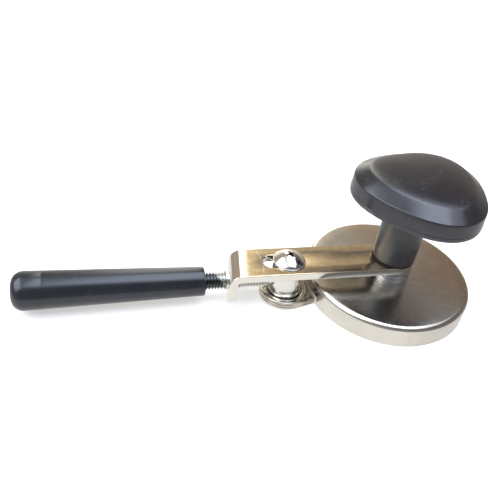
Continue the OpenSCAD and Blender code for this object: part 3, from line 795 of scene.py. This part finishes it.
def build_base():
    z = KZ0
    R = KNOB_R
    prof = rounded([(STEM_R + 0.02, z + 0.25, 0), (STEM_R + 0.35, z, 0.2), (R - 4.2, z, 0.3), (R - 3.8, z + 0.35, 0.3), (R - 2.4, z + 0.35, 0.3), (R - 2.0, z, 0.3),
                    (R + 0.25, z, 0.75), (R + 0.45, z + 2.30, 0.2), (STEM_R + 3.2, z + 2.30, 0), (STEM_R + 0.02, z + 2.30, 0)])
    v, f = lobed(with_lobe(prof))
    # the bore stays round about the stem
    vv = []
    for x, y, s in v:
        r = math.hypot(x, y)
        q = math.hypot(x - KOX, y - KOY)
        if q < STEM_R + 3.0:
            a = math.atan2(y - KOY, x - KOX)
            tr = STEM_R + 0.02 + max(0.0, q - LOBE * 0.1 - STEM_R - 0.02) * 0.9
            x, y = tr * math.cos(a), tr * math.sin(a)
        vv.append((x, y, s))
    o = mesh_obj("palm_under", vv, f)
    for a in (40.6, 160.6, 280.6):
        a = math.radians(a)
        cx, cy = 19 * math.cos(a), 19 * math.sin(a)
        boolean(o, cyl_tool(3.2, z - 1, z + 1.0, place_z(cx, cy), 48))
        boolean(o, cyl_tool(1.6, z - 1, z + 4.0, place_z(cx, cy), 32))
    return dress(o, M_KNOB, "palm", ["palm_base"], 34)


build_cup()
build_arm()
build_post()
build_head()
build_ring()
build_screw_washer()
build_rod()
build_grip()
build_grip_cap()
build_leg_nut()
build_boss()
build_thrust()
build_stem()
build_cap()
build_base()

for node, mat, bev in (("cup_washer", M_ZINC, 0.15), ("spindle", M_STEEL, 0.15), ("clamp_washer", M_ZINC, 0.1),
                       ("clamp_nut", M_ZINC, 0.15), ("retaining_washer", M_ZINC, 0.1), ("retaining_screw", M_STEEL, 0.15),
                       ("cutter_blade", M_TOOL, 0.05), ("blade_screws", M_STEEL, 0.05), ("ring_screw", M_STEEL, 0.12),
                       ("grip_insert", M_BRASS, 0.1), ("stem_bush", M_BRASS, 0.1), ("shell_screws", M_ZINC, 0.08)):
    keep_cad(node, mat, bev)


# ------------------------------------------------------------------ floor
def build_floor():
    m = Mat("floor_paper")
    m.bsdf.inputs["Roughness"].default_value = 0.9
    m.bsdf.inputs["Specular IOR Level"].default_value = 0.1
    f = m.noise(m.obj(), 6.0, 2.0, 0.5)
    m.link(m.mixc(m.rng(f, 0.3, 0.7), (0.78, 0.78, 0.78), (0.80, 0.80, 0.80)), m.bsdf.inputs["Base Color"])
    m.bsdf.inputs["Emission Color"].default_value = (1, 1, 1, 1)
    m.bsdf.inputs["Emission Strength"].default_value = 0.45
    me = bpy.data.meshes.new("floor")
    n, R = 48, 30.0
    verts = [(0, 0, 0)] + [(R * math.cos(2 * pi * i / n), R * math.sin(2 * pi * i / n), 0) for i in range(n)]
    me.from_pydata(verts, [], [(0, i + 1, (i + 1) % n + 1) for i in range(n)])
    o = bpy.data.objects.new("floor", me)
    me.materials.append(m.m)
    scene.collection.objects.link(o)
    o.location = (0, 0, -0.00005)
    o.visible_glossy = False
    return o


build_floor()


# ------------------------------------------------------------------ light
def area(name, loc, target, sx, sy, power, col):
    d = bpy.data.lights.new(name, "AREA")
    d.shape = "RECTANGLE"
    d.size, d.size_y = sx, sy
    d.energy = power
    d.color = col
    o = bpy.data.objects.new(name, d)
    scene.collection.objects.link(o)
    o.location = loc
    v = Vector(target) - Vector(loc)
    o.rotation_euler = v.to_track_quat("-Z", "Y").to_euler()
    return o


def soft(name, centre, size, radiance, col):
    """A softbox overhead, facing down; its radiance is set, so its power follows its size."""
    sx, sy = size
    return area(name, centre, (centre[0] * 0.75, centre[1] * 0.75, 0), sx, sy, radiance * pi * sx * sy, col)


soft("softbox_right", (0.39, -0.095, 1.15), (1.50, 1.01), 1.4, (0.86, 0.92, 1.0))
soft("softbox_top", (0.12, -0.025, 1.14), (0.96, 0.65), 2.6, (0.76, 0.86, 1.0))
soft("softbox_left", (-1.09, -0.05, 0.95), (1.46, 1.3), 3.8, (0.88, 0.94, 1.0))


def build_world():
    w = bpy.data.worlds.new("studio")
    scene.world = w
    w.use_nodes = True
    nt = w.node_tree
    nt.nodes.clear()
    N = nt.nodes.new
    L = nt.links.new
    out = N("ShaderNodeOutputWorld")
    bg = N("ShaderNodeBackground")
    L(bg.outputs[0], out.inputs[0])
    tc = N("ShaderNodeTexCoord")
    sep = N("ShaderNodeSeparateXYZ")
    L(tc.outputs["Generated"], sep.inputs[0])

    def mth(op, a, b=0.0, clamp=False):
        n = N("ShaderNodeMath")
        n.operation = op
        n.use_clamp = clamp
        for s, v in ((n.inputs[0], a), (n.inputs[1], b)):
            if hasattr(v, "is_output"):
                L(v, s)
            else:
                s.default_value = v
        return n.outputs[0]

    def ramp(v, stops):
        n = N("ShaderNodeValToRGB")
        L(v, n.inputs[0])
        e = n.color_ramp.elements
        while len(e) > 1:
            e.remove(e[-1])
        e[0].position, e[0].color = stops[0][0], (*stops[0][1], 1)
        for p, c in stops[1:]:
            k = e.new(p)
            k.color = (*c, 1)
        return n.outputs[0]

    def mix(f, a, b):
        n = N("ShaderNodeMix")
        n.data_type = "RGBA"
        for s, v in ((n.inputs[0], f), (n.inputs[6], a), (n.inputs[7], b)):
            if hasattr(v, "is_output"):
                L(v, s)
            elif isinstance(v, tuple):
                s.default_value = (*v, 1)
            else:
                s.default_value = v
        return n.outputs[2]

    # azimuth from +Y towards +X, as 0..1 over the full turn, 0.5 is straight back
    az = mth("ADD", mth("DIVIDE", mth("ARCTAN2", sep.outputs[0], sep.outputs[1]), 2 * pi), 0.5)
    z = mth("MULTIPLY_ADD", sep.outputs[2], 0.5)
    z = mth("ADD", mth("MULTIPLY", sep.outputs[2], 0.5), 0.5)
    d = 1 / 360.0
    def at(deg):
        return 0.5 + deg * d

    def lev(deg):
        return 0.5 + 0.5 * math.sin(math.radians(deg))

    below = ramp(az, [
        (0.0, (1.10, 1.09, 1.06)), (at(-60), (1.10, 1.10, 1.06)), (at(10), (0.95, 0.94, 0.90)),
        (at(50), (0.80, 0.79, 0.76)), (at(95), (0.85, 0.84, 0.82)), (at(140), (1.0, 0.99, 0.97)), (1.0, (1.10, 1.09, 1.06))])
    horizon = ramp(az, [
        (0.0, (0.26, 0.26, 0.26)), (at(-120), (0.34, 0.34, 0.34)), (at(-80), (0.50, 0.48, 0.45)), (at(-50), (0.34, 0.28, 0.23)),
        (at(-28), (0.42, 0.35, 0.29)), (at(-14), (0.95, 0.90, 0.80)), (at(0), (1.0, 0.98, 0.86)), (at(6), (2.10, 2.15, 1.90)), (at(12), (2.10, 2.10, 1.85)), (at(18), (0.90, 0.85, 0.74)), (at(34), (0.58, 0.52, 0.45)),
        (at(60), (0.30, 0.26, 0.22)), (at(110), (0.20, 0.19, 0.19)), (1.0, (0.26, 0.26, 0.26))])
    middle = ramp(az, [
        (0.0, (0.17, 0.17, 0.18)), (at(-120), (0.38, 0.38, 0.39)), (at(-80), (0.80, 0.80, 0.78)), (at(-50), (0.40, 0.33, 0.27)),
        (at(-2), (0.42, 0.34, 0.27)), (at(3), (3.00, 3.10, 2.70)), (at(12), (3.10, 3.10, 2.70)), (at(16.5), (0.84, 0.73, 0.55)),
        (at(24), (0.50, 0.44, 0.35)), (at(31), (0.44, 0.38, 0.31)), (at(38), (0.28, 0.21, 0.155)),
        (at(50), (0.17, 0.13, 0.10)), (at(95), (0.15, 0.13, 0.12)), (at(135), (0.14, 0.135, 0.13)), (1.0, (0.17, 0.17, 0.18))])
    upper = ramp(az, [
        (0.0, (0.18, 0.18, 0.20)), (at(-110), (0.55, 0.56, 0.56)), (at(-70), (0.80, 0.80, 0.76)), (at(-48), (0.45, 0.38, 0.31)),
        (at(1), (0.44, 0.36, 0.29)), (at(5), (3.10, 3.20, 2.80)), (at(12), (3.10, 3.10, 2.70)), (at(16.5), (0.88, 0.76, 0.57)),
        (at(23), (0.52, 0.45, 0.35)), (at(27.5), (0.28, 0.26, 0.24)), (at(34), (0.15, 0.155, 0.18)),
        (at(60), (0.15, 0.15, 0.17)), (at(95), (0.17, 0.17, 0.19)), (at(135), (0.15, 0.15, 0.16)), (1.0, (0.18, 0.18, 0.20))])
    g1 = ramp(z, [(lev(-16), (0, 0, 0)), (lev(-9), (1, 1, 1))])
    g2 = ramp(z, [(lev(16), (0, 0, 0)), (lev(25), (1, 1, 1))])
    g3 = ramp(z, [(lev(34.5), (0, 0, 0)), (lev(40), (1, 1, 1))])
    g4 = ramp(z, [(lev(50), (0, 0, 0)), (lev(66), (1, 1, 1))])
    c = mix(g1, below, horizon)
    c = mix(g2, c, middle)
    c = mix(g3, c, upper)
    c = mix(g4, c, (0.8, 0.82, 0.86))
    L(c, bg.inputs["Color"])
    bg.inputs["Strength"].default_value = 1.0
    return w


build_world()

# ------------------------------------------------------------------ camera
F_PX = 579.4
CAM_C = Vector((-133.601, -193.875, 187.098)) * MM
CAM_R = ((0.970403530701694, -0.21067219786395633, 0.11804326600385114),
         (-0.04127543415996962, -0.6263169402821711, -0.7784750662998043),
         (0.23793555038411546, 0.7505626658465958, -0.6164757566203709))
cam_d = bpy.data.cameras.new("camera")
cam = bpy.data.objects.new("camera", cam_d)
scene.collection.objects.link(cam)
cam_d.sensor_width = 36.0
cam_d.sensor_fit = "HORIZONTAL"
cam_d.lens = F_PX / 500 * 36.0
cam_d.clip_start = 0.01
cam_d.clip_end = 100.0
rt, dn, fw = (Vector(r) for r in CAM_R)
mat = Matrix.Identity(4)
for i in range(3):
    mat[i][0], mat[i][1], mat[i][2], mat[i][3] = rt[i], -dn[i], -fw[i], CAM_C[i]
cam.matrix_world = mat
scene.camera = cam
scene.view_settings.view_transform = "Standard"
scene.view_settings.look = "None"
scene.view_settings.exposure = 0.0
scene.view_settings.gamma = 1.0
